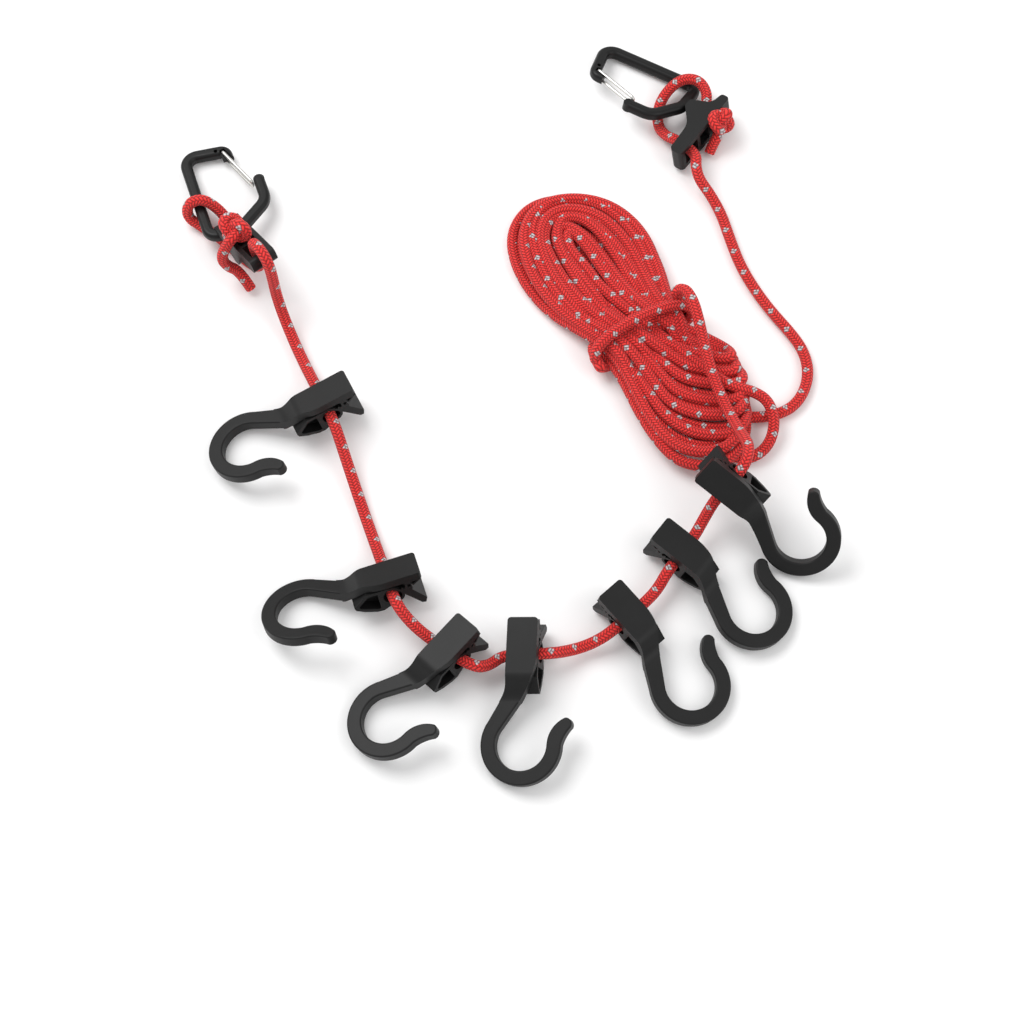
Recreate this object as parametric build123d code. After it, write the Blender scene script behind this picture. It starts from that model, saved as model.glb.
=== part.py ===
from build123d import *
import math
import os

# Travel clothesline: one braided cord carrying seven moulded hook-clips, with a
# line tensioner and a small wire-gate carabiner at each end and the spare cord
# tied up in a hank.  Millimetres, +Z up, everything resting on the plane z = 0.
# The origin is the middle of the hard parts' footprint.

# ---- driving dimensions -------------------------------------------------------
CORD_D = 5.0
CORD_R = CORD_D / 2

# hook-clip, drawn in its own axes: u along the hook, v along the cord, w upwards
HOOK_WIDTH = 13.0
PLATE_T = 3.6
RING_U = 52.5
RING_R_OUT = 17.2
RING_R_IN = 11.0
STEM_ANGLE = 34.0
STEM_TOP = -5.5
STEM_BOTTOM = -10.7
HOOK_EDGE_R = 0.7
TIP_R = 1.5
CREASE_U = 35.0
EYE_U = 14.0
EYE_W = -8.8
EYE_R = 3.35
PIVOT_U = 7.3
PIVOT_W = -7.2
BEAD_R = 1.3
SOCKET_R = 1.36
BOSS_R = 2.5
WEB_T = 2.0
JAW_WIDTH = 12.4

# carabiner, drawn with s along the spine, p across the opening, t through it
FRAME_W = 5.2
FRAME_T = 5.0
FRAME_EDGE_R = 1.8
GATE_WIRE_R = 0.8
GATE_LEG_T = 2.0
GATE_PIN_FIT = 0.07
GATE_PIVOT = (-1.4, 20.6)
GATE_END = (20.0, 28.6)

# line tensioner, drawn with a along the bar, b across it, h away from the bar face
BAR_L = 38.0
BAR_W = 12.4
BAR_T = 3.8
LEG_T = 6.5
APEX_A = 26.0
APEX_H = 15.2
APEX_HALF = 2.0
CHEEK_T = 2.3
KNOT_HOLE_A = 29.0
KNOT_HOLE_R = 2.9
KNOT_SIZE = (6.6, 5.0, 6.2)

# hank of spare cord
HANK_H = 15.0
HANK_END_H = 9.0
WAIST_H = 19.0
WAIST_W = 14.0
WAIST_FROM = (42.0, 13.0)
WAIST_TO = (84.0, 37.0)
HANK_OUTLINE = [(27, 97), (12, 91), (4, 73), (3, 52), (11, 33), (26, 23), (43, 13), (52, -2),
                (60, -22), (72, -36), (88, -40), (102, -29), (110, -12), (112, 0), (104, 9),
                (93, 18), (84, 34), (76, 50), (73, 66), (63, 82), (46, 95)]

os.makedirs("parts", exist_ok=True)


def save(shape, name):
    """Write one named piece."""
    shape.label = name
    export_step(shape, os.path.join("parts", name + ".step"))


def both_sides(face, half):
    """Extrude a face drawn in (u, w) to v = -half .. +half."""
    return extrude(Plane.XZ * face, amount=half, both=True)


def disc(centre, radius):
    return Pos(centre[0], centre[1]) * Circle(radius)


def closed(*points):
    return make_face(Polyline(*points, close=True))


# ---- hook plate: spring tab, plate, stem and open C in one moulding --------------
def plate_side():
    """Side view of plate, crease and stem."""
    top = FilletPolyline((0, 0), (25.5, 0), (32.5, STEM_TOP), (75, STEM_TOP), radius=[6, 6])
    bottom = FilletPolyline((75, STEM_BOTTOM), (34.0, STEM_BOTTOM), (24.5, -PLATE_T), (0, -PLATE_T),
                            radius=[3, 6])
    end = Line((75, STEM_TOP), (75, STEM_BOTTOM))
    tab = Line((0, -PLATE_T), (0, 0))
    return make_face([top, end, bottom, tab])


def plate_plan():
    """Plan outline: square tab, slanting stem, open ring with a flared tip."""
    nu = -math.sin(math.radians(STEM_ANGLE))
    nv = -math.cos(math.radians(STEM_ANGLE))
    outer_tan = (RING_U + RING_R_OUT * nu, RING_R_OUT * nv)
    inner_tan = (RING_U + RING_R_IN * nu, RING_R_IN * nv)
    half = HOOK_WIDTH / 2
    tip_in = (RING_U - 11.4, 18.6)
    tip_out = (RING_U - 7.4, 21.2)
    shank = FilletPolyline(outer_tan, (28.5, -half), (0, -half), (0, half), (23.0, half), inner_tan,
                           radius=[12, 1.5, 1.5, 25])
    inner = ThreePointArc(inner_tan, (RING_U + RING_R_IN, 0), (RING_U, RING_R_IN))
    flare_in = ThreePointArc((RING_U, RING_R_IN), (RING_U - 6.9, 13.2), tip_in)
    nose = ThreePointArc(tip_in, (RING_U - 10.2, 20.9), tip_out)
    flare_out = ThreePointArc(tip_out, (RING_U - 3.5, 18.5), (RING_U, RING_R_OUT))
    outer = ThreePointArc((RING_U, RING_R_OUT), (RING_U + RING_R_OUT, 0), outer_tan)
    plan = make_face([shank, inner, flare_in, nose, flare_out, outer])
    tip = [v for v in plan.vertices() if v.X < RING_U - 7.5 and v.Y > 15]
    return fillet(tip, TIP_R)


def make_plate():
    """The rounded ring and stem joined to the bent plate."""
    plan = plate_plan()
    split = Pos(CREASE_U + 50, 0) * Rectangle(100, 100)
    ring = Pos(0, 0, STEM_TOP) * extrude(plan & split, STEM_BOTTOM - STEM_TOP)
    ring = ring.solids()[0]
    rims = [e for e in ring.edges() if e.bounding_box().size.Z < 0.01 and e.center().X > CREASE_U + 0.1]
    ring = fillet(rims, HOOK_EDGE_R)
    neck = extrude(plan - split, -20) & both_sides(plate_side(), 30)
    body = neck + ring
    wedge = closed((0.3, -PLATE_T + 0.2), (4.2, -6.1), (5.6, -5.0), (6.8, -4.8), (6.8, -7.2),
                   (7.8, -7.2), (7.8, -4.2), (9.2, -PLATE_T + 0.2))
    recess = closed((2.0, -PLATE_T - 0.3), (4.2, -5.2), (5.2, -PLATE_T - 0.3))
    half = HOOK_WIDTH / 2
    body += both_sides(wedge, half)
    body += both_sides(disc((PIVOT_U, PIVOT_W), BEAD_R), half)
    for side in (-1, 1):
        pocket = both_sides(recess, (half - WEB_T / 2) / 2)
        body -= Pos(0, side * (half + WEB_T / 2) / 2, 0) * pocket
    return body


# ---- clip jaw: cord eye, biting nose and finger tail -------------------------------
def eye_opening(grow):
    right = disc((EYE_U + 0.6, EYE_W), EYE_R + grow)
    left = disc((EYE_U - 1.9, EYE_W - 0.7), 2.3 + grow)
    return make_hull((right + left).edges())


def make_jaw():
    half = JAW_WIDTH / 2
    outline = eye_opening(1.15)
    outline += disc((PIVOT_U, PIVOT_W), BOSS_R)
    outline += closed((5.6, -8.0), (0.1, -15.6), (1.0, -18.0), (2.6, -17.7), (9.0, -9.6))
    outline += closed((15.0, -4.3), (24.6, -4.3), (30.9, -9.5), (30.5, -11.0), (27.0, -13.2),
                      (22.0, -15.2), (19.0, -15.5), (14.0, -13.4))
    body = both_sides(outline, half)
    body -= both_sides(eye_opening(0), half + 1)
    body -= both_sides(disc((PIVOT_U, PIVOT_W), SOCKET_R), half + 1)
    mouth = closed((PIVOT_U, PIVOT_W), (PIVOT_U - 5.2, PIVOT_W + 3.0), (PIVOT_U + 2.6, PIVOT_W + 4.5),
                   (PIVOT_U + 2.6, PIVOT_W + 1.5))
    body -= both_sides(mouth, half + 1)
    pocket = closed((20.0, -5.7), (24.2, -5.7), (28.9, -9.6), (28.4, -10.8), (21.6, -13.8), (20.0, -13.8))
    for side in (-1, 1):
        core = both_sides(pocket, (half - WEB_T / 2) / 2)
        body -= Pos(0, side * (half + WEB_T / 2) / 2, 0) * core
    return body


# eye centre x, y, z, heading of u, pitch (C end down), roll (v side up)
HOOKS = [
    (-76.2, -10.9, 12.6, 207.5, 7.4, 18.3),
    (-46.9, -93.0, 11.2, 197.6, 2.2, 27.6),
    (-20.4, -122.4, 10.7, 227.0, 5.7, 15.8),
    (11.0, -122.6, 10.4, -92.7, 5.8, 14.2),
    (53.9, -106.5, 9.5, -47.9, 7.2, -3.1),
    (76.9, -78.5, 10.0, -37.9, 7.6, -5.7),
    (97.8, -51.4, 25.8, -33.9, 18.7, 42.3),
]


# ---- carabiner frame and wire gate ---------------------------------------------------
def make_frame():
    """D-shaped bent bar, open on the gate side, grooved where the gate legs lie."""
    path = FilletPolyline((2.4, 22.2), (-2.6, 22.0), (-5.2, 2.6), (42.6, 2.6), (41.0, 19.0),
                          (31.0, 32.2), (19.4, 32.2), radius=[3.0, 5.5, 4.6, 8.0, 8.0])
    bar = RectangleRounded(FRAME_W, FRAME_T, FRAME_EDGE_R)
    frame = sweep(Plane(origin=path @ 0, z_dir=path % 0, x_dir=(0, 1, 0)) * bar, path)
    lobe = extrude(disc((19.4, 32.2), FRAME_W / 2), FRAME_T / 2 - 0.6, both=True)
    frame += lobe
    u, p = GATE_PIVOT
    for side in (-1, 1):
        fan = closed((u - 1.4, p + 1.0), (u - 1.0, p - 1.2), (u + 12.0, p - 4.6),
                     (u + 12.0, p + 6.6), (u, p + 1.6))
        relief = Pos(0, 0, side * (1.05 + 2.0)) * extrude(fan, 2.0, both=True)
        frame -= relief
    pin_hole = extrude(disc(GATE_PIVOT, GATE_WIRE_R + GATE_PIN_FIT), 5, both=True)
    spare_hole = extrude(disc((-2.6, 17.6), 0.9), 5, both=True)
    return frame - pin_hole - spare_hole


def make_gate():
    """U of round wire: two legs, a bridge behind the nose, two in-turned pins."""
    t = GATE_LEG_T
    (hs, hp), (es, ep) = GATE_PIVOT, GATE_END
    path = FilletPolyline((hs, hp, 0.25), (hs, hp, t), (es, ep, t),
                          (es, ep, -t), (hs, hp, -t), (hs, hp, -0.25),
                          radius=[GATE_WIRE_R + 0.1, 1.2, 1.2, GATE_WIRE_R + 0.1])
    return sweep(Plane(origin=path @ 0, z_dir=path % 0) * Circle(GATE_WIRE_R), path)


# ---- line tensioner ---------------------------------------------------------------------
def make_tensioner():
    """Two triangular cheeks joined by a face bar, an end bar, a rib and the apex block."""
    outline = FilletPolyline((0, 0), (BAR_L, 0), (BAR_L, BAR_T + 0.4), (31.5, 5.6),
                             (APEX_A + APEX_HALF, APEX_H), (APEX_A - APEX_HALF, APEX_H),
                             (15.5, 7.6), (0, LEG_T),
                             close=True, radius=[2.0, 1.5, 1.5, 5.0, 1.6, 1.6, 9.0, 2.6])
    profile = make_face(outline)
    inner = BAR_W / 2 - CHEEK_T
    body = extrude(profile, BAR_W / 2, both=True)
    for low, high in (((3.2, -1), (12.6, 20)), ((14.6, -1), (21.0, 3.6)), ((14.6, 5.2), (21.5, 20)),
                      ((21.0, BAR_T), (40.0, 11.8))):
        block = Box(high[0] - low[0], high[1] - low[1], 2 * inner,
                    align=(Align.MIN, Align.MIN, Align.CENTER))
        body -= Pos(low[0], low[1], 0) * block
    hole = Pos(KNOT_HOLE_A, 0, 0) * Rot(90, 0, 0) * Cylinder(KNOT_HOLE_R, 2 * BAR_T + 1)
    return body - hole


# ---- cord ----------------------------------------------------------------------------------
def bend_radii(points):
    """Arc radius at every inner point: 0.45 of the shorter run over tan(half the turn)."""
    radii = []
    for a, b, c in zip(points, points[1:], points[2:]):
        before = Vector(*b) - Vector(*a)
        after = Vector(*c) - Vector(*b)
        turn = math.radians(before.get_angle(after))
        radii.append(0.45 * min(before.length, after.length) / math.tan(turn / 2))
    return radii


def cord_tube(points, name):
    """One run of cord: straight runs joined by tangent arcs."""
    radii = bend_radii(points)
    path = FilletPolyline(*points, radius=radii)
    tube = sweep(Plane(origin=path @ 0, z_dir=path % 0) * Circle(CORD_R), path)
    ratio = tube.volume / (path.length * math.pi * CORD_R ** 2)
    print(name, "length", round(path.length, 1), "volume ratio", round(ratio, 3))
    print("  bend radii", [round(r, 1) for r in radii])
    save(tube, name)
    return path.length


def make_knot():
    """Outer shape of the stopper knot, sitting on the bar face over its hole."""
    return Pos(KNOT_HOLE_A, -KNOT_SIZE[1] - 0.1, 0) * scale(Sphere(1.0), by=KNOT_SIZE)


def make_hank():
    """Outer shape of the tied spare cord: two fanned ends and a wrapped waist."""
    outline = make_face(Spline(HANK_OUTLINE, periodic=True))
    end_cut = Pos(90.0, -71.0, 0) * Rectangle(120, 100)
    high = extrude(outline - end_cut, HANK_H)
    low = extrude(outline & end_cut, HANK_END_H)
    (x0, y0), (x1, y1) = WAIST_FROM, WAIST_TO
    heading = math.degrees(math.atan2(y1 - y0, x1 - x0))
    length = math.hypot(x1 - x0, y1 - y0)
    band = RectangleRounded(length, WAIST_W, WAIST_W * 0.4)
    waist = extrude(Pos((x0 + x1) / 2, (y0 + y1) / 2) * Rot(0, 0, heading) * band, WAIST_H)
    return high + low + waist


def placed(pose, shape):
    x, y, z, yaw, pitch, roll = pose
    turn = Rot(0, 0, yaw) * Rot(0, pitch, 0) * Rot(roll, 0, 0)
    return Pos(x, y, z) * turn * shape


# placements: x, y, z, heading, pitch (far end down), roll
CARABINERS = [(-147.5, 111.0, 3.9, -70.8, -8.8, 0.0), (55.0, 175.6, 2.8, -26.6, 0.5, 161.5)]
TENSIONERS = [(-104.3, 51.3, 33.8, 126.0, 27.0, -90.0), (82.8, 111.1, 9.8, 52.0, 0.0, -12.0)]

# the cord's route, run by run
LOOP_1 = [(-119.8, 72.6, 21.5), (-118.6, 71.0, 16.9), (-117.9, 70.0, 12.4), (-117.0, 71.4, 7.0),
          (-119.5, 77.5, 3.4), (-124.5, 84.5, 4.4), (-129.5, 88.8, 9.2), (-135.8, 90.6, 14.1),
          (-142.2, 88.8, 12.0), (-143.0, 85.6, 5.4), (-137.0, 82.5, 2.9), (-129.5, 77.5, 2.9),
          (-122.5, 71.4, 2.9), (-114.6, 63.8, 3.2), (-109.4, 57.8, 10.0), (-106.4, 54.2, 20.5),
          (-107.4, 55.6, 25.5)]
TAIL_1 = [(-125.0, 71.0, 25.5), (-127.8, 65.4, 18.5), (-125.4, 59.6, 9.5), (-120.0, 55.2, 4.4),
          (-113.2, 51.4, 3.2)]
LINE_1 = [(-107.4, 55.6, 25.5), (-108.4, 57.0, 30.5), (-108.4, 57.0, 36.2), (-104.3, 51.3, 39.6),
          (-101.2, 46.6, 37.0), (-100.2, 44.0, 28.5), (-99.6, 41.0, 16.5), (-96.5, 33.5, 6.4),
          (-89.4, 17.4, 3.2), (-80.0, -2.7, 9.7), (-72.4, -19.1, 15.5), (-67.0, -34.5, 7.0),
          (-60.4, -53.5, 2.8), (-54.0, -71.5, 3.4), (-49.3, -84.9, 6.8), (-44.5, -101.1, 15.6),
          (-37.5, -109.5, 11.0), (-27.8, -116.9, 8.8), (-11.8, -128.8, 12.9), (-5.0, -127.5, 8.5),
          (1.8, -122.1, 8.1), (20.2, -123.3, 12.7), (31.0, -119.5, 5.5), (39.5, -116.5, 6.0),
          (46.9, -112.9, 10.0), (60.9, -100.1, 9.0), (67.0, -93.2, 7.5), (71.2, -86.0, 10.6),
          (82.6, -71.0, 9.4), (88.0, -61.5, 12.0), (92.2, -56.1, 19.7), (103.4, -46.7, 31.9),
          (106.0, -37.0, 31.0), (103.0, -27.0, 22.5), (99.5, -17.0, 17.8), (96.0, -6.0, 17.8),
          (93.0, 3.0, 14.0)]
LOOSE = [(104.0, -2.0, 12.0), (111.0, -3.0, 10.6), (117.5, -7.0, 9.8), (120.4, -16.0, 8.0),
         (118.0, -25.5, 4.4), (111.0, -31.5, 3.4), (103.0, -31.5, 3.4)]
LINE_2 = [(104.0, -12.0, 4.0), (112.0, -12.4, 3.2), (121.5, -11.0, 2.7), (129.5, -7.0, 2.7),
          (135.0, 1.0, 2.7), (137.0, 11.0, 2.7), (134.8, 21.0, 2.7), (129.0, 30.0, 2.7),
          (121.5, 39.5, 2.7), (114.5, 50.5, 2.7), (108.5, 62.5, 2.7), (104.4, 75.5, 2.7),
          (101.0, 88.0, 3.0), (96.0, 97.0, 5.5), (90.5, 103.4, 9.0), (89.0, 109.0, 11.2),
          (89.7, 115.2, 10.4), (85.7, 119.6, 9.2)]
LOOP_2 = [(101.4, 133.4, 10.0), (96.6, 137.2, 8.7), (95.2, 142.6, 8.4), (95.6, 149.2, 9.4),
          (91.6, 154.8, 10.4), (84.5, 156.0, 9.4), (77.5, 151.5, 6.6), (73.0, 143.5, 4.4),
          (72.6, 134.5, 3.2), (76.4, 128.2, 4.6), (81.7, 124.0, 8.0), (85.7, 119.6, 9.2)]
TAIL_2 = [(106.5, 128.0, 9.0), (104.6, 123.6, 6.2), (100.0, 119.8, 3.6), (95.5, 117.5, 3.0)]

plate = Pos(-EYE_U, 0, -EYE_W) * make_plate()
jaw = Pos(-EYE_U, 0, -EYE_W) * make_jaw()
frame = make_frame()
gate = make_gate()
tensioner = make_tensioner()
knot = make_knot()

for number, pose in enumerate(HOOKS, 1):
    save(placed(pose, plate), "hook_%d" % number)
    save(placed(pose, jaw), "jaw_%d" % number)
for number, pose in enumerate(CARABINERS, 1):
    save(placed(pose, frame), "carabiner_%d_frame" % number)
    save(placed(pose, gate), "carabiner_%d_gate" % number)
for number, pose in enumerate(TENSIONERS, 1):
    save(placed(pose, tensioner), "tensioner_%d" % number)
    save(placed(pose, knot), "cord_knot_%d" % number)

save(make_hank(), "cord_hank")
lengths = [cord_tube(LOOP_1, "cord_loop_1"), cord_tube(TAIL_1, "cord_tail_1"),
           cord_tube(LINE_1, "cord_line_1"), cord_tube(LOOSE, "cord_loose_loop"),
           cord_tube(LINE_2, "cord_line_2"), cord_tube(LOOP_2, "cord_loop_2"),
           cord_tube(TAIL_2, "cord_tail_2")]
print("cord drawn outside the hank and knots", round(sum(lengths)))
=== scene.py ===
import math
import random

import bpy
import numpy as np
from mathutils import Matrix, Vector


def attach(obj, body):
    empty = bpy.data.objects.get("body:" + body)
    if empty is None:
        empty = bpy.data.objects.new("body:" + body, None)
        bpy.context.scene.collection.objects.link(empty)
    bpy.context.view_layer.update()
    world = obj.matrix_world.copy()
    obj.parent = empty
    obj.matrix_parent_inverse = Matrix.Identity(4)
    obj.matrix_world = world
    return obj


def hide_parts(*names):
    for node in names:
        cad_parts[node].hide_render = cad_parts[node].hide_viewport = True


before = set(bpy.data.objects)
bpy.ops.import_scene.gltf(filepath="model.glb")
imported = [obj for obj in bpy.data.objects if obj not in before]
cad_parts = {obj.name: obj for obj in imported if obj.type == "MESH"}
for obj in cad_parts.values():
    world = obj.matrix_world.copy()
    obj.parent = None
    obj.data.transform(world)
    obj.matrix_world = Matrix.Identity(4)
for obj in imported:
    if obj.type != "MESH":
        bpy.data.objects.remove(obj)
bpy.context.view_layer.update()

MM = 0.001
CORD_D = 5.0
CORD_SIDES = 14

# ---------------------------------------------------------------- camera

TARGET = Vector((0.005, -0.0555, 0.0))
ELEVATION = math.radians(70)
DISTANCE = 0.9
SENSOR_WIDTH = 36.0
LENS = 72.7
camera_data = bpy.data.cameras.new("camera")
camera_data.sensor_width = SENSOR_WIDTH
camera_data.lens = LENS
camera_data.dof.use_dof = False
camera_data.clip_start = 0.01
camera = bpy.data.objects.new("camera", camera_data)
bpy.context.scene.collection.objects.link(camera)
camera.location = TARGET + DISTANCE * Vector((0, -math.cos(ELEVATION), math.sin(ELEVATION)))
camera.rotation_euler = (TARGET - camera.location).to_track_quat("-Z", "Y").to_euler()
bpy.context.scene.camera = camera
bpy.context.scene.view_settings.view_transform = "Standard"

# ---------------------------------------------------------------- the cord's route, in millimetres

TAIL_1 = [(-112.9, 50.9, 3.2), (-117.5, 56.5, 9.5), (-122.5, 56.5, 14.0), (-124.5, 57.5, 21.0)]
LOOP_1 = [
    (-120.0, 72.9, 22.5), (-118.6, 71.0, 16.9), (-117.9, 70.0, 12.4), (-117.0, 71.4, 7.0),
    (-119.5, 77.5, 3.4), (-124.5, 84.5, 4.4), (-129.5, 88.8, 9.2), (-135.8, 90.6, 14.1),
    (-142.2, 88.8, 12.0), (-143.0, 85.6, 5.4), (-137.0, 82.5, 2.9), (-129.5, 77.5, 2.9), (-122.5, 71.4, 2.9),
    (-114.6, 63.8, 3.2), (-109.4, 57.8, 10.0), (-106.4, 54.2, 20.5),
]
LINE_1 = [
    (-108.4, 57.0, 30.5), (-108.4, 57.0, 36.2), (-104.3, 51.3, 39.6), (-101.2, 46.6, 37.0),
    (-100.2, 44.0, 28.5), (-99.6, 41.0, 16.5), (-96.5, 33.5, 6.4), (-89.4, 17.4, 3.2),
    (-80.0, -2.7, 9.7), (-72.4, -19.1, 15.5), (-67.0, -34.5, 7.0), (-60.4, -53.5, 2.8),
    (-54.0, -71.5, 3.4), (-49.3, -84.9, 6.8), (-44.5, -101.1, 15.6), (-37.5, -109.5, 11.0),
    (-27.8, -116.9, 8.8), (-11.8, -128.8, 12.9), (-5.0, -127.5, 8.5), (1.8, -122.1, 8.1),
    (20.2, -123.3, 12.7), (31.0, -119.5, 5.5), (39.5, -116.5, 6.0), (46.9, -112.9, 10.0),
    (60.9, -100.1, 9.0), (67.0, -93.2, 7.5), (71.2, -86.0, 10.6), (82.6, -71.0, 9.4),
    (88.0, -61.5, 12.0), (92.2, -56.1, 19.7), (103.4, -46.7, 31.9), (106.0, -37.0, 31.0),
    (103.0, -27.0, 22.5), (99.5, -17.0, 17.8), (95.0, -6.0, 17.8), (91.5, 5.0, 18.6),
]
# Over the hank to a tight bend at its waist, where it tucks under the binding turns.
OVER_HANK = [
    (88.8, 16.0, 21.0), (86.6, 25.0, 25.0), (84.4, 33.5, 26.5), (81.0, 40.6, 24.5), (76.2, 40.4, 20.5),
]
# The slack loop beside the hank's lower end.
LOOSE_LOOP = [
    (96.0, 2.0, 12.0), (104.0, -2.0, 12.0), (111.0, -3.0, 10.6), (117.5, -7.0, 9.8), (120.4, -16.0, 8.0),
    (118.0, -25.5, 4.4), (111.0, -31.5, 3.4), (103.0, -31.5, 3.4), (95.0, -28.0, 3.2),
]
# Inside the hank, from the slack loop back out to the second line.
INNER_BEND = [
    (85.0, -22.0, 4.6), (77.0, -12.0, 5.2), (79.0, -2.0, 5.4), (88.0, -3.0, 5.4), (96.0, -9.0, 4.8),
]
LINE_2 = [
    (104.0, -12.0, 4.0), (112.0, -12.4, 3.2), (121.5, -11.0, 2.7), (129.5, -7.0, 2.7), (135.0, 1.0, 2.7),
    (137.0, 11.0, 2.7), (134.8, 21.0, 2.7), (129.0, 30.0, 2.7), (121.5, 39.5, 2.7), (114.5, 50.5, 2.7),
    (108.5, 62.5, 2.7), (104.4, 75.5, 2.7), (101.0, 88.0, 3.0), (96.0, 97.0, 5.5), (90.5, 103.4, 9.0),
    (89.0, 109.0, 11.2), (89.7, 115.2, 10.4),
]
LOOP_2 = [
    (81.7, 124.0, 8.0), (76.4, 128.2, 4.6), (72.6, 134.5, 3.2), (73.0, 143.5, 4.4), (77.5, 151.5, 6.6),
    (84.5, 156.0, 9.4), (91.6, 154.8, 10.4), (95.6, 149.2, 9.4), (95.2, 142.6, 8.4), (96.6, 137.2, 8.7),
]
TAIL_2 = [(100.2, 126.6, 8.0), (98.0, 123.8, 5.0), (96.4, 120.6, 3.0)]

KNOT_UNIT = 2.1
KNOT_RISE = 2.7
KNOT_POINTS = 16
KNOT_START = math.radians(60)
KNOT_OPEN = math.radians(24)
# Each knot's centre, and its own axes: across, up and face.
KNOT_1 = ((-117.9, 66.0, 30.1), (-0.86, -0.29, -0.41), (0.39, -0.90, -0.19), (-0.32, -0.32, 0.89))
KNOT_2 = ((101.6, 132.2, 12.0), (0.60, 0.79, 0.0), (-0.16, 0.13, 0.98), (0.77, -0.60, 0.2))


def overhand(centre, across, up, face):
    """Points of a drawn-down overhand knot about its centre; across, up and face are its own axes."""
    made = []
    for i in range(KNOT_POINTS):
        t = KNOT_START + KNOT_OPEN + (2 * math.pi - 2 * KNOT_OPEN) * i / (KNOT_POINTS - 1)
        x = KNOT_UNIT * (math.sin(t) + 2 * math.sin(2 * t))
        y = KNOT_UNIT * (math.cos(t) - 2 * math.cos(2 * t))
        z = -KNOT_RISE * math.sin(3 * t)
        made.append(tuple(Vector(centre) + x * Vector(across) + y * Vector(up) + z * Vector(face)))
    return made


# ---------------------------------------------------------------- the hank

HANK_CENTRE = (63.0, 25.0)
HANK_ALONG = (-0.496, 0.868)
HANK_ACROSS = (0.868, 0.496)
# One turn's places, from the left of the waist down and round. Each is (along, across) twice:
# in the outermost turn, and in the innermost.
TURN_PLACES = [
    ((10, -21), (10, -3)), ((-2, -18), (-2, 3)), ((-14, -18), (-9, 8)), ((-30, -20), (-14, 13)),
    ((-46, -20), (-18, 17)), ((-60, -17), (-22, 21)), ((-69, -4), (-26, 25)), ((-67, 9), (-27, 29)),
    ((-57, 20), (-22, 30)), ((-43, 27), (-16, 28)), ((-27, 24), (-12, 25)), ((-12, 20), (-8, 21)),
    ((0, 20), (0, 8)), ((12, 21), (12, 4)), ((27, 27), (26, 1)), ((46, 30), (40, -1)),
    ((64, 24), (52, -2)), ((77, 10), (59, -4)), ((83, -8), (60, -7)), ((75, -24), (53, -9)),
    ((56, -32), (42, -6)), ((33, -31), (27, -4)),
]
# How much the binding sets each place's height, and how much each place fans out, from 0 to 1.
TIED = {0: 0.6, 1: 1.0, 2: 0.4, 11: 0.5, 12: 1.0, 13: 0.6}
FANNED = {5: 0.5, 6: 1.0, 7: 1.0, 8: 1.0, 9: 0.5}
# The places on the way down to the lower end, which lie on top, and on the way back under them.
GOING = range(2, 8)
RETURNING = range(8, 12)
RETURN_BOWS_FROM = 9
RETURN_BOW = 36
TURNS = 14
# How unevenly the turns lie: limits of each turn's random lean, reach and lift.
SEED = 7
LEAN = (-2.5, 2.5)
REACH = (-2.5, 2.0)
LIFT = (0.0, 1.6)
# The turns spread freely past this far from the waist, over this long a run.
WAIST_HALF = 22.0
END_RUN = 45.0
UPPER_SHIFT = 3.5
LOWER_SHIFT = -1.0
# Heights of the cord's centre line: on the floor, a layer up, and at the waist.
FLOOR_Z = 2.6
LAYER_Z = 4.7
GOING_Z = 4.4
GOING_LAYER_Z = 3.4
RETURN_RISE = 3.2
WAIST_Z = (6.8, 10.6, 14.4)
# The binding turns round the waist.
WRAP_HALF = 25.0
WRAP_Z = 10.6
WRAP_RISE = 8.8
WRAP_FLATNESS = 0.6
WRAP_START = 2.0
WRAP_PITCH = 4.0
WRAP_SLANT = 5.5
WRAP_POINTS = 14
WRAPS = 1.5


def hank_point(along, across, height):
    return (
        HANK_CENTRE[0] + along * HANK_ALONG[0] + across * HANK_ACROSS[0],
        HANK_CENTRE[1] + along * HANK_ALONG[1] + across * HANK_ACROSS[1],
        height,
    )


def hank_turns():
    """The spare cord in long turns, inside each other above the waist and side by side below it."""
    rng = random.Random(SEED)
    made = []
    for turn in range(TURNS):
        lean, reach, lift = rng.uniform(*LEAN), rng.uniform(*REACH), rng.uniform(*LIFT)
        upper = turn % 2
        for place, (outer, inner) in enumerate(TURN_PLACES):
            share = min((turn + place / len(TURN_PLACES)) / TURNS, 1.0)
            spread = share + FANNED.get(place, 0.0) * share * (1 - share)
            along = outer[0] + (inner[0] - outer[0]) * share
            across = outer[1] + (inner[1] - outer[1]) * spread
            height = FLOOR_Z + LAYER_Z * upper
            if place in GOING:
                height = FLOOR_Z + GOING_Z + GOING_LAYER_Z * upper
            if place in RETURNING:
                height = FLOOR_Z + RETURN_RISE * share
                across -= RETURN_BOW * share * (1 - share) * (place >= RETURN_BOWS_FROM)
            end = min(max(abs(along) - WAIST_HALF, 0.0) / END_RUN, 1.0)
            tied = TIED.get(place, 0.0)
            height += (WAIST_Z[turn % 3] - height) * tied + lift * end
            across += (lean + (UPPER_SHIFT if upper else LOWER_SHIFT) * (along > 0)) * end
            made.append(hank_point(along + math.copysign(reach * end, along), across, height))
    return made


def binding_turns():
    """Turns round the waist, from its right side under the hank and back over the top."""
    made = []
    for i in range(int(WRAP_POINTS * WRAPS) + 1):
        a = 2 * math.pi * i / WRAP_POINTS
        over = max(-math.sin(a), 0.0)
        height = WRAP_Z - WRAP_RISE * math.copysign(abs(math.sin(a)) ** WRAP_FLATNESS, math.sin(a))
        along = WRAP_START - WRAP_PITCH * i / WRAP_POINTS + WRAP_SLANT * over
        made.append(hank_point(along, WRAP_HALF * math.cos(a), max(height, FLOOR_Z)))
    return made


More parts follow.
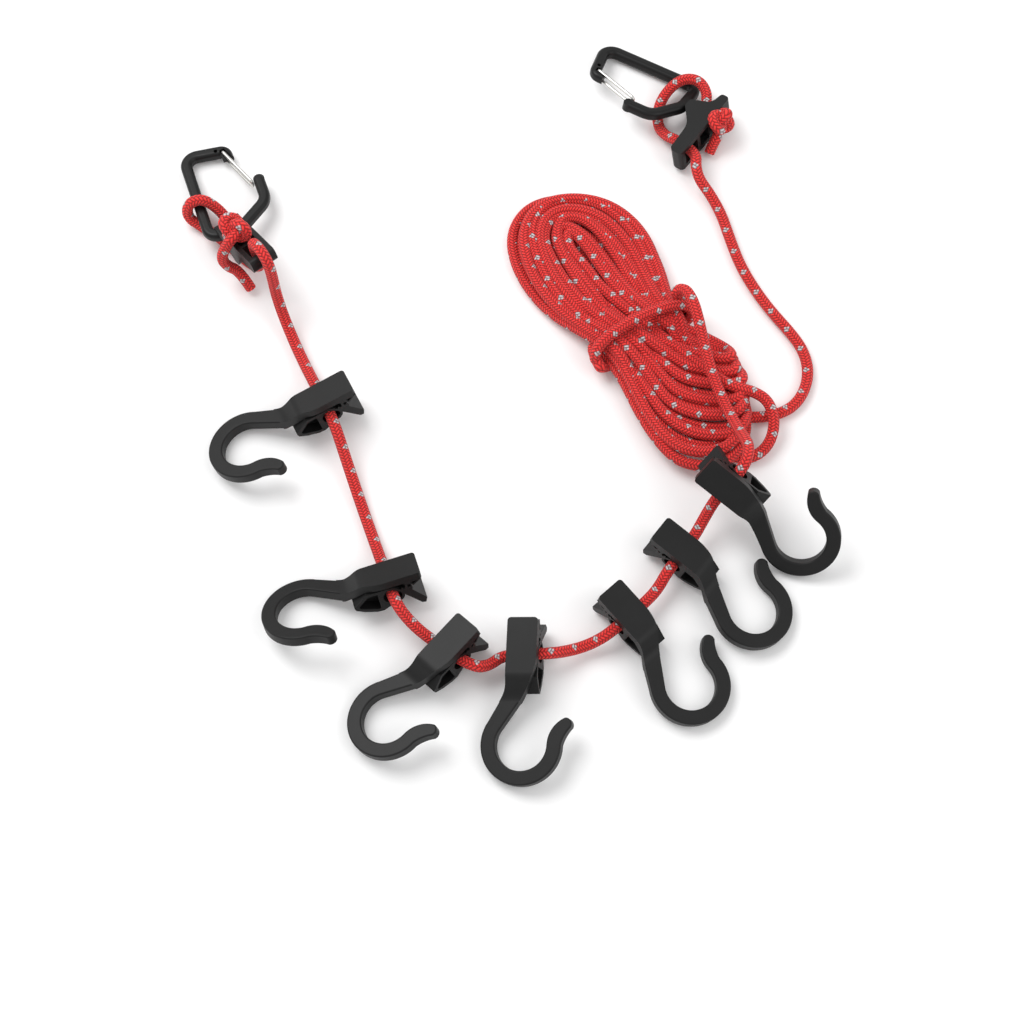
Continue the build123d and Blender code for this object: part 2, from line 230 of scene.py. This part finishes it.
def cord_route():
    """Every control point of the one cord, from its first tail to its last."""
    return [
        *TAIL_1, *overhand(*KNOT_1), *LOOP_1, *LINE_1, *OVER_HANK, *binding_turns(), *hank_turns(),
        *LOOSE_LOOP, *INNER_BEND, *LINE_2, *LOOP_2, *overhand(*KNOT_2), *TAIL_2,
    ]


# A tube's end face is this share of its radius, and stands this share of it past the end.
END_SHARE = 0.85
END_REACH = 0.25
SPLINE_STEPS = 12


def spline_line(points):
    """The smooth line of a route, as points in metres."""
    curve = bpy.data.curves.new("route", "CURVE")
    curve.dimensions = "3D"
    spline = curve.splines.new("NURBS")
    spline.points.add(len(points) - 1)
    for knot, place in zip(spline.points, points):
        knot.co = (place[0] * MM, place[1] * MM, place[2] * MM, 1.0)
    spline.order_u = 3
    spline.use_endpoint_u = True
    spline.resolution_u = SPLINE_STEPS
    holder = bpy.data.objects.new("route", curve)
    mesh = bpy.data.meshes.new_from_object(holder)
    line = np.array([v.co for v in mesh.vertices], float)
    bpy.data.objects.remove(holder)
    return line


def tube(name, line, radius, sides):
    """A round tube along a line, narrowed at both ends, with a map of length and turn."""
    step = np.diff(line, axis=0)
    along = np.concatenate([[0.0], np.cumsum(np.linalg.norm(step, axis=1))])
    tangent = np.gradient(line, axis=0)
    tangent /= np.linalg.norm(tangent, axis=1)[:, None]
    side = np.cross(tangent[0], (0.0, 0.0, 1.0))
    side /= np.linalg.norm(side)
    turn = np.linspace(0, 2 * np.pi, sides, endpoint=False)
    rings = []
    for centre, t in zip(line, tangent):
        side = side - t * float(side @ t)
        side /= np.linalg.norm(side)
        up = np.cross(t, side)
        rings.append(centre + radius * (np.cos(turn)[:, None] * side + np.sin(turn)[:, None] * up))
    first = line[0] + END_SHARE * (rings[0] - line[0]) - tangent[0] * radius * END_REACH
    last = line[-1] + END_SHARE * (rings[-1] - line[-1]) + tangent[-1] * radius * END_REACH
    rings = [first, *rings, last]
    along = np.concatenate([[along[0]], along, [along[-1]]])
    verts = np.concatenate(rings)
    faces, maps = [], []
    for i in range(len(rings) - 1):
        for j in range(sides):
            k = (j + 1) % sides
            faces.append((i * sides + j, i * sides + k, (i + 1) * sides + k, (i + 1) * sides + j))
            maps += [
                (along[i], j / sides), (along[i], (j + 1) / sides),
                (along[i + 1], (j + 1) / sides), (along[i + 1], j / sides),
            ]
    faces.append(tuple(range(sides - 1, -1, -1)))
    maps += [(along[0], j / sides) for j in range(sides - 1, -1, -1)]
    faces.append(tuple(range(len(verts) - sides, len(verts))))
    maps += [(along[-1], j / sides) for j in range(sides)]
    mesh = bpy.data.meshes.new(name)
    mesh.from_pydata(verts.tolist(), [], faces)
    layer = mesh.uv_layers.new(name="braid_map")
    layer.data.foreach_set("uv", np.array(maps, np.float32).ravel())
    mesh.polygons.foreach_set("use_smooth", [True] * len(mesh.polygons))
    mesh.update()
    made = bpy.data.objects.new(name, mesh)
    bpy.context.scene.collection.objects.link(made)
    return made


# ---------------------------------------------------------------- materials


class Nodes:
    """A short way to write a node material."""

    def __init__(self, name):
        self.material = bpy.data.materials.new(name)
        self.material.use_nodes = True
        self.tree = self.material.node_tree
        self.shader = self.tree.nodes["Principled BSDF"]

    def node(self, kind, **settings):
        made = self.tree.nodes.new(kind)
        for key, value in settings.items():
            setattr(made, key, value)
        return made

    def link(self, source, target):
        if isinstance(source, (int, float)):
            target.default_value = source
        else:
            self.tree.links.new(source, target)

    def math(self, operation, *values):
        made = self.node("ShaderNodeMath", operation=operation)
        for value, socket in zip(values, made.inputs):
            self.link(value, socket)
        return made.outputs[0]

    def mix(self, share, a, b):
        made = self.node("ShaderNodeMix", data_type="RGBA")
        self.link(share, made.inputs["Factor"])
        for value, socket in ((a, made.inputs["A"]), (b, made.inputs["B"])):
            if isinstance(value, tuple):
                socket.default_value = (*value, 1.0)
            else:
                self.tree.links.new(value, socket)
        return made.outputs["Result"]

    def noise(self, coordinate, scale, detail=3.0, roughness=0.5):
        made = self.node("ShaderNodeTexNoise")
        self.tree.links.new(coordinate, made.inputs["Vector"])
        made.inputs["Scale"].default_value = scale
        made.inputs["Detail"].default_value = detail
        made.inputs["Roughness"].default_value = roughness
        return made.outputs["Fac"]

    def bump(self, height, distance, strength=1.0):
        made = self.node("ShaderNodeBump")
        made.inputs["Distance"].default_value = distance
        made.inputs["Strength"].default_value = strength
        self.tree.links.new(height, made.inputs["Height"])
        self.tree.links.new(made.outputs["Normal"], self.shader.inputs["Normal"])


# Strands of each hand, the length of one turn in metres, and how many strands each one passes over.
STRANDS = 8
LAY_LENGTH = 0.0112
FLOAT = 2.0
FLECK_WIDTH = 1.5
RED_LOW = (0.92, 0.022, 0.022)
RED_HIGH = (1.0, 0.045, 0.040)
FLUFF = (0.95, 0.12, 0.10)
FLUFF_SHARE = 0.25
FLECK_LOW = (0.46, 0.42, 0.43)
FLECK_HIGH = (0.86, 0.82, 0.84)
# Painted shade: a dark colour for the grooves between strands and where strands dive under, with a power
# that sets how far it spreads.
GROOVE_SHADE = (0.11, 0.002, 0.003)
GROOVE_SHADE_POWER = 0.6
RIB_HEIGHT = 0.0005
CORD_ROUGHNESS = 0.68
FLECK_SHINE = 0.3


def braid_material():
    """Red braided cover: strands of two hands, over and under each other, with pale flecks and painted shade
    in the grooves between strands.
    """
    n = Nodes("red_braid")
    uv = n.node("ShaderNodeUVMap", uv_map="braid_map").outputs["UV"]
    split = n.node("ShaderNodeSeparateXYZ")
    n.tree.links.new(uv, split.inputs[0])
    along = n.math("MULTIPLY", split.outputs["X"], STRANDS / LAY_LENGTH)
    around = n.math("MULTIPLY", split.outputs["Y"], float(STRANDS))
    hand_a = n.math("ADD", around, along)
    hand_b = n.math("SUBTRACT", around, along)
    cell_a, cell_b = n.math("FLOOR", hand_a), n.math("FLOOR", hand_b)
    part_a, part_b = n.math("FRACT", hand_a), n.math("FRACT", hand_b)
    repeat = 2 * FLOAT
    crossing = n.math("FLOORED_MODULO", n.math("ADD", cell_a, cell_b), repeat)
    a_on_top = n.math("LESS_THAN", crossing, FLOAT - 0.5)
    b_on_top = n.math("SUBTRACT", 1.0, a_on_top)
    side_a = n.math("ABSOLUTE", n.math("SUBTRACT", part_a, 0.5))
    side_b = n.math("ABSOLUTE", n.math("SUBTRACT", part_b, 0.5))
    across = n.math("ADD", n.math("MULTIPLY", a_on_top, side_a), n.math("MULTIPLY", b_on_top, side_b))
    long_a = n.math("FLOORED_MODULO", n.math("ADD", cell_a, hand_b), repeat)
    long_b = n.math("SUBTRACT", n.math("FLOORED_MODULO", n.math("ADD", cell_b, hand_a), repeat), FLOAT)
    lengthwise = n.math("ADD", n.math("MULTIPLY", a_on_top, long_a), n.math("MULTIPLY", b_on_top, long_b))
    dive = n.math("POWER", n.math("ABSOLUTE", n.math("SUBTRACT", lengthwise, 1.0)), 3.0)
    round_over = n.math("SUBTRACT", 1.0, n.math("MULTIPLY", n.math("MULTIPLY", across, across), 4.0))
    crown = n.math("MULTIPLY", round_over, n.math("SUBTRACT", 1.0, dive))
    fleck = n.math(
        "MULTIPLY",
        n.math("LESS_THAN", n.math("FLOORED_MODULO", cell_a, float(STRANDS)), FLECK_WIDTH),
        n.math("LESS_THAN", n.math("FLOORED_MODULO", cell_b, float(STRANDS)), FLECK_WIDTH),
    )
    place = n.node("ShaderNodeTexCoord").outputs["Object"]
    fibre = n.noise(place, scale=5200.0, detail=2.0)
    tone = n.noise(place, scale=60.0, detail=2.0)
    red = n.mix(tone, RED_LOW, RED_HIGH)
    fluffed = n.mix(n.math("MULTIPLY", fibre, FLUFF_SHARE), red, FLUFF)
    pale = n.mix(fibre, FLECK_LOW, FLECK_HIGH)
    face = n.mix(fleck, fluffed, pale)
    # Painted shade: each strand's crown blends from the dark groove colour at its edges and ends to the face
    # colour on top.
    cover = n.mix(n.math("POWER", crown, GROOVE_SHADE_POWER), GROOVE_SHADE, face)
    n.tree.links.new(cover, n.shader.inputs["Base Color"])
    roughness = n.math("SUBTRACT", CORD_ROUGHNESS, n.math("MULTIPLY", fleck, FLECK_SHINE))
    n.tree.links.new(roughness, n.shader.inputs["Roughness"])
    n.shader.inputs["Sheen Weight"].default_value = 0.08
    n.shader.inputs["Specular IOR Level"].default_value = 0.3
    n.shader.inputs["Sheen Roughness"].default_value = 0.5
    n.bump(n.math("ADD", crown, n.math("MULTIPLY", fibre, 0.15)), distance=RIB_HEIGHT)
    return n.material


def plastic_material(name, dark, light, roughness, grain):
    """Moulded black plastic: a fine matt grain with faint flow marks."""
    n = Nodes(name)
    place = n.node("ShaderNodeTexCoord").outputs["Object"]
    fine = n.noise(place, scale=2600.0, detail=3.0, roughness=0.6)
    flow = n.noise(place, scale=85.0, detail=4.0, roughness=0.6)
    tone = n.math("ADD", n.math("MULTIPLY", flow, 0.6), n.math("MULTIPLY", fine, 0.4))
    n.tree.links.new(n.mix(tone, dark, light), n.shader.inputs["Base Color"])
    n.tree.links.new(n.math("ADD", roughness, n.math("MULTIPLY", fine, 0.12)), n.shader.inputs["Roughness"])
    n.shader.inputs["Specular IOR Level"].default_value = 0.25
    n.bump(fine, distance=grain, strength=0.7)
    return n.material


def wire_material():
    """Bright drawn spring wire with fine draw marks."""
    n = Nodes("drawn_wire")
    n.shader.inputs["Metallic"].default_value = 1.0
    place = n.node("ShaderNodeTexCoord").outputs["Object"]
    marks = n.noise(place, scale=1800.0, detail=4.0, roughness=0.7)
    n.tree.links.new(n.mix(marks, (0.50, 0.49, 0.47), (0.78, 0.77, 0.74)), n.shader.inputs["Base Color"])
    n.tree.links.new(n.math("ADD", 0.2, n.math("MULTIPLY", marks, 0.2)), n.shader.inputs["Roughness"])
    n.bump(marks, distance=0.00003, strength=0.5)
    return n.material


PLASTIC = plastic_material(
    "black_moulding", dark=(0.005, 0.005, 0.005), light=(0.013, 0.013, 0.013), roughness=0.40, grain=0.00004,
)
COATING = plastic_material(
    "black_coating", dark=(0.004, 0.004, 0.004), light=(0.010, 0.010, 0.010), roughness=0.34, grain=0.00002,
)
WIRE = wire_material()

LOOKS = {"hook": PLASTIC, "jaw": PLASTIC, "tensioner": PLASTIC, "carabiner": COATING}
for name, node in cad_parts.items():
    if name.startswith("cord_"):
        continue
    look = WIRE if name.endswith("_gate") else LOOKS[name.split("_")[0]]
    node.data.materials.clear()
    node.data.materials.append(look)

cord_line = spline_line(cord_route())
cord = tube("cord", cord_line, CORD_D * MM / 2, CORD_SIDES)
cord.data.materials.append(braid_material())
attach(cord, "cord")
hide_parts(*[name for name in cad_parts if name.startswith("cord_")])

# ---------------------------------------------------------------- floor and light

FLOOR_HALF = 3.0
SKY_STRENGTH = 0.72
PAPER_WHITE = (0.93, 0.93, 0.93, 1.0)
PAPER_ROUGHNESS = 0.9
floor_mesh = bpy.data.meshes.new("floor")
floor_mesh.from_pydata(
    [(x * FLOOR_HALF, y * FLOOR_HALF, 0) for x, y in ((-1, -1), (1, -1), (1, 1), (-1, 1))],
    [], [(0, 1, 2, 3)],
)
floor = bpy.data.objects.new("floor", floor_mesh)
bpy.context.scene.collection.objects.link(floor)
paper = Nodes("paper")
paper.shader.inputs["Base Color"].default_value = PAPER_WHITE
paper.shader.inputs["Roughness"].default_value = PAPER_ROUGHNESS
floor.data.materials.append(paper.material)

world = bpy.data.worlds.new("studio")
world.use_nodes = True
world.node_tree.nodes["Background"].inputs["Color"].default_value = (1.0, 1.0, 1.0, 1.0)
world.node_tree.nodes["Background"].inputs["Strength"].default_value = SKY_STRENGTH
bpy.context.scene.world = world


def area_light(name, place, size, power):
    data = bpy.data.lights.new(name, "AREA")
    data.shape = "DISK"
    data.size = size
    data.energy = power
    made = bpy.data.objects.new(name, data)
    made.location = place
    made.rotation_euler = (Vector((0, 0, 0)) - made.location).to_track_quat("-Z", "Y").to_euler()
    bpy.context.scene.collection.objects.link(made)


area_light("key", Vector((-0.6, 0.5, 1.1)), size=0.9, power=11.0)
area_light("fill", Vector((0.9, -0.3, 0.9)), size=1.0, power=3.5)
